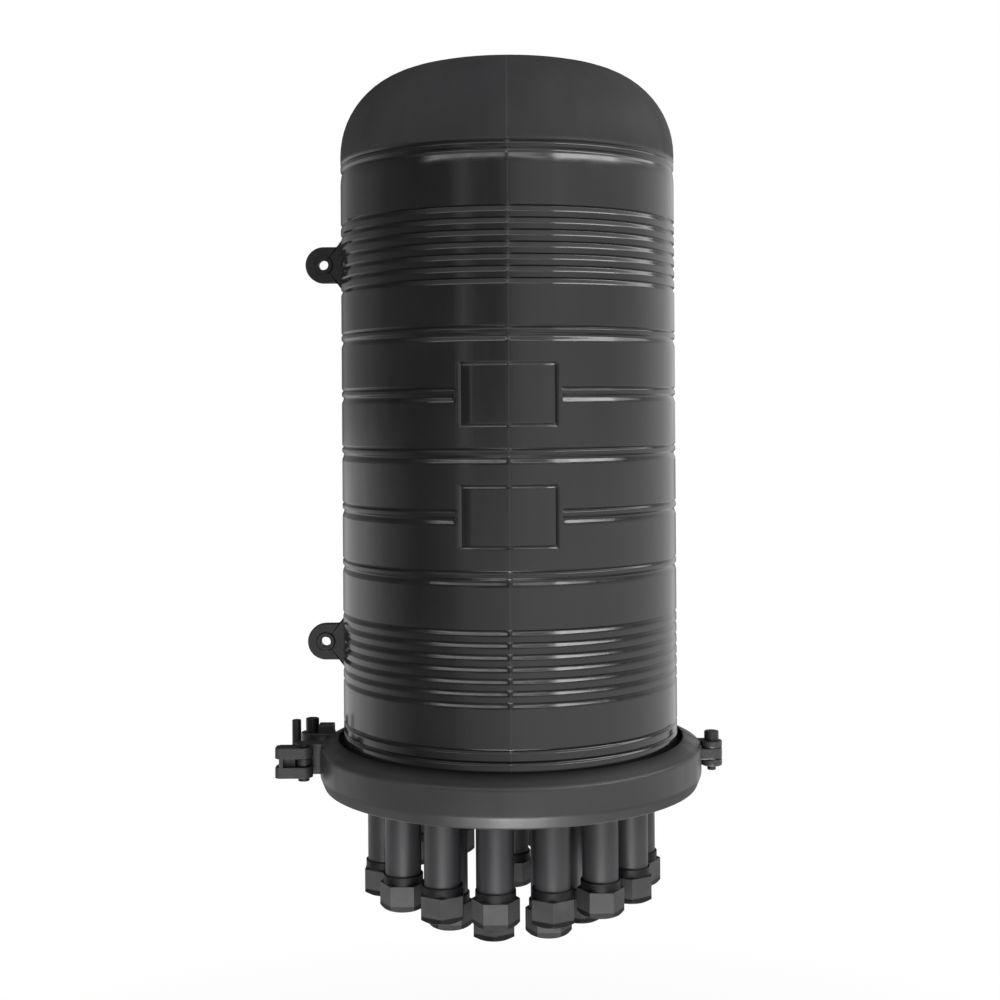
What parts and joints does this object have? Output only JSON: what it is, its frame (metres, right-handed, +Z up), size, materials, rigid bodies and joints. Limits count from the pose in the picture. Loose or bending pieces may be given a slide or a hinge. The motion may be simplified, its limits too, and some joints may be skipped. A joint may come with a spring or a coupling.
{
  "type": "fibre splitter closure",
  "caption": "Upright dome closure for fibre cable: grooved dome clamped by a latched hoop to a base with compression ports, splice trays and a splitter inside.",
  "frame": {"origin": "on the dome's axis, at the mouth of the centre port", "axes": "+Z up along the dome's axis, -Y towards the front with the label frames, latch on the -X side"},
  "size_m": [0.269, 0.2308, 0.5155],
  "materials": {
    "dome_plastic": "semi-gloss black moulding",
    "hoop_plastic": "matt dark grey moulding",
    "latch_plastic": "satin black moulding",
    "base_plastic": "satin black moulding",
    "nut_plastic": "satin black moulding",
    "pin_black": "blackened steel",
    "seal_rubber": "matt black rubber",
    "frame_aluminium": "plain folded sheet",
    "screw_steel": "plated steel",
    "tray_plastic": "pale grey moulding",
    "splitter_plastic": "dark moulding",
    "clear_plastic": "clear sheet"
  },
  "bodies": {
    "closure": {"dome_cover": "dome_plastic", "clamp_half_front": "hoop_plastic", "clamp_half_rear": "hoop_plastic", "latch_keeper": "hoop_plastic", "clamp_hinge_pin": "pin_black", "latch_bolt_pin": "pin_black", "base_body": "base_plastic", "base_seal_ring": "seal_rubber", "drop_port_nuts": "nut_plastic", "inlet_port_nuts": "nut_plastic", "centre_port_nut": "nut_plastic", "drop_port_plugs": "seal_rubber", "inlet_port_plugs": "seal_rubber", "tray_frame": "frame_aluminium", "frame_screws": "screw_steel", "tray_rack": "tray_plastic", "rack_screws": "screw_steel", "splice_tray_1": "tray_plastic", "splice_tray_2": "tray_plastic", "splice_tray_3": "tray_plastic", "splice_tray_4": "tray_plastic", "tray_hinge_pins": "screw_steel", "tray_cover": "clear_plastic", "splitter_module": "splitter_plastic", "splitter_clip": "screw_steel", "clip_screws": "screw_steel", "slack_basket": "tray_plastic", "basket_screws": "screw_steel", "cable_clamps": "screw_steel", "clamp_screws": "screw_steel"},
    "swing_bolt": {"latch_swing_bolt": "latch_plastic", "latch_lever_pin": "pin_black"},
    "cam_lever": {"latch_cam_lever": "latch_plastic"}
  },
  "joints": [
    {"name": "bolt_swing", "type": "hinge", "parent": "closure", "child": "swing_bolt", "pos_m": [-0.1236, 0.022, 0.079], "axis": [0, 0, 1], "range_deg": [-75, 0]},
    {"name": "lever_swing", "type": "hinge", "parent": "swing_bolt", "child": "cam_lever", "pos_m": [-0.1236, -0.02, 0.079], "axis": [0, 0, 1], "range_deg": [0, 100]}
  ]
}
